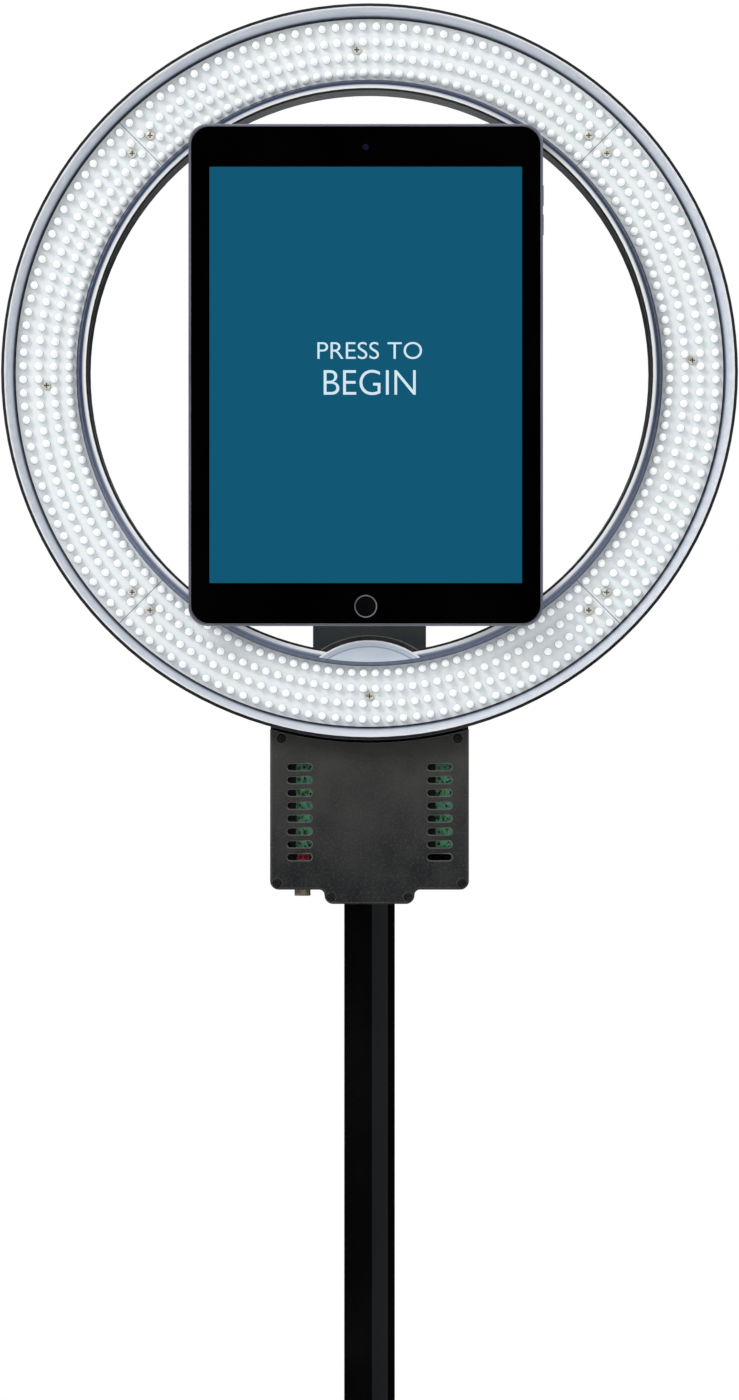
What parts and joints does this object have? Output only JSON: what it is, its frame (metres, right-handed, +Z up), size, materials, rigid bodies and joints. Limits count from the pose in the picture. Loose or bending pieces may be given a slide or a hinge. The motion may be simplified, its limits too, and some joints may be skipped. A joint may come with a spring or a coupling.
{
  "type": "tablet photo booth",
  "caption": "Free-standing photo booth: an LED ring light round an upright tablet, with a driver box, on a telescopic pole with a tilting head and a round base.",
  "frame": {"origin": "centre of the floor contact, under the pole", "axes": "+Z up along the pole, -Y the way the screen and the light face, +X to a viewer's right"},
  "size_m": [0.3999, 0.4, 1.597],
  "materials": {
    "housing_black": "fine matt moulding, dark",
    "tray_silver": "silver-blue satin",
    "board_white": "white solder mask, faintly green",
    "led_lens": "milky clear epoxy",
    "screw_nickel": "nickel plate",
    "screw_black": "black oxide",
    "wire_red": "insulated wire",
    "box_charcoal": "fine spark-eroded texture",
    "circuit_green": "green solder mask",
    "capacitor_sleeve": "shrink sleeve",
    "ferrite": "sintered",
    "heat_sink": "extruded",
    "chip_black": "moulded epoxy",
    "terminal_red": "moulded",
    "inlet_nickel": "nickel plate",
    "control_black": "moulded",
    "knob_black": "moulded grip",
    "bracket_charcoal": "flat powder coat on steel",
    "zinc_steel": "zinc plate",
    "nylon_white": "nylon",
    "cast_black": "black painted die casting",
    "standoff_aluminium": "turned",
    "tablet_aluminium": "blasted and anodised, dark grey",
    "tablet_glass": "black mask under clear glass",
    "screen_blue": "lit display, plain blue",
    "battery_wrap": "foil wrap",
    "camera_glass": "coated lens",
    "button_black": "sapphire cap",
    "button_ring": "polished steel, grey",
    "foam_black": "foam tape",
    "pole_black": "gloss black enamel on steel",
    "base_black": "textured black powder coat on steel",
    "foot_rubber": "moulded"
  },
  "bodies": {
    "stand": {"lower_pole": "pole_black", "pole_bush": "nylon_white", "clamp_collar": "cast_black", "base_flange": "cast_black", "base_plate": "base_black", "base_bolts": "zinc_steel", "rubber_feet": "foot_rubber"},
    "mast": {"upper_pole": "pole_black", "pole_head": "cast_black"},
    "height_knob": {"height_knob": "knob_black"},
    "tilt_knob": {"tilt_knob": "knob_black"},
    "dimmer_knob": {"dimmer_knob": "knob_black"},
    "power_switch_rocker": {"power_switch_rocker": "control_black"},
    "home_button": {"home_button": "button_black"},
    "sleep_button": {"sleep_button": "tablet_aluminium"},
    "volume_up_button": {"volume_up_button": "tablet_aluminium"},
    "volume_down_button": {"volume_down_button": "tablet_aluminium"},
    "head": {"ring_rear_housing": "housing_black", "ring_reflector_tray": "tray_silver", "led_board_screws": "screw_nickel", "ring_housing_screws": "screw_black", "led_wire_loom": "wire_red", "box_front_cover": "box_charcoal", "box_rear_shell": "box_charcoal", "box_cover_screws": "screw_black", "driver_board": "circuit_green", "driver_board_screws": "screw_nickel", "driver_capacitors": "capacitor_sleeve", "driver_inductor": "ferrite", "driver_heat_sink": "heat_sink", "driver_chips": "chip_black", "output_terminal": "terminal_red", "power_inlet": "inlet_nickel", "inlet_nut": "inlet_nickel", "power_switch_body": "control_black", "dimmer_potentiometer": "zinc_steel", "bracket_bar": "bracket_charcoal", "tilt_yoke": "bracket_charcoal", "bracket_bolts": "screw_black", "tilt_bolt": "zinc_steel", "tilt_washers": "nylon_white", "tablet_standoffs": "standoff_aluminium", "standoff_screws": "screw_black", "tablet_plate": "bracket_charcoal", "foam_pads": "foam_black", "tablet_back_shell": "tablet_aluminium", "tablet_front_glass": "tablet_glass", "tablet_display": "screen_blue", "tablet_battery": "battery_wrap", "tablet_logic_board": "circuit_green", "tablet_cameras": "camera_glass", "home_button_ring": "button_ring", "led_board_right": "board_white", "led_array_right": "led_lens", "led_board_top": "board_white", "led_array_top": "led_lens", "led_board_left": "board_white", "led_array_left": "led_lens", "led_board_bottom": "board_white", "led_array_bottom": "led_lens"}
  },
  "joints": [
    {"name": "mast_height", "type": "slide", "parent": "stand", "child": "mast", "axis": [0, 0, 1], "range_m": [-0.25, 0.25]},
    {"name": "head_tilt", "type": "hinge", "parent": "mast", "child": "head", "pos_m": [0, 0, 1.215], "axis": [1, 0, 0], "range_deg": [-30, 10]},
    {"name": "height_knob_turn", "type": "hinge", "parent": "stand", "child": "height_knob", "pos_m": [0.03, 0, 0.88], "axis": [1, 0, 0], "range_deg": [0, 360]},
    {"name": "tilt_knob_turn", "type": "hinge", "parent": "head", "child": "tilt_knob", "pos_m": [0.03, 0, 1.215], "axis": [1, 0, 0], "range_deg": [0, 360]},
    {"name": "dimmer_turn", "type": "hinge", "parent": "head", "child": "dimmer_knob", "pos_m": [0.0365, -0.028, 1.218], "axis": [0, -1, 0], "range_deg": [-140, 140]},
    {"name": "power_switch_rock", "type": "hinge", "parent": "head", "child": "power_switch_rocker", "pos_m": [-0.0365, -0.0316, 1.218], "axis": [1, 0, 0], "range_deg": [0, 18]},
    {"name": "home_button_press", "type": "slide", "parent": "head", "child": "home_button", "axis": [0, 1, 0], "range_m": [0, 0.0004], "stiffness_N_per_m": 1200},
    {"name": "sleep_button_press", "type": "slide", "parent": "head", "child": "sleep_button", "axis": [0, 0, -1], "range_m": [0, 0.0003], "stiffness_N_per_m": 1200},
    {"name": "volume_up_press", "type": "slide", "parent": "head", "child": "volume_up_button", "axis": [-1, 0, 0], "range_m": [0, 0.0003], "stiffness_N_per_m": 1200},
    {"name": "volume_down_press", "type": "slide", "parent": "head", "child": "volume_down_button", "axis": [-1, 0, 0], "range_m": [0, 0.0003], "stiffness_N_per_m": 1200}
  ]
}
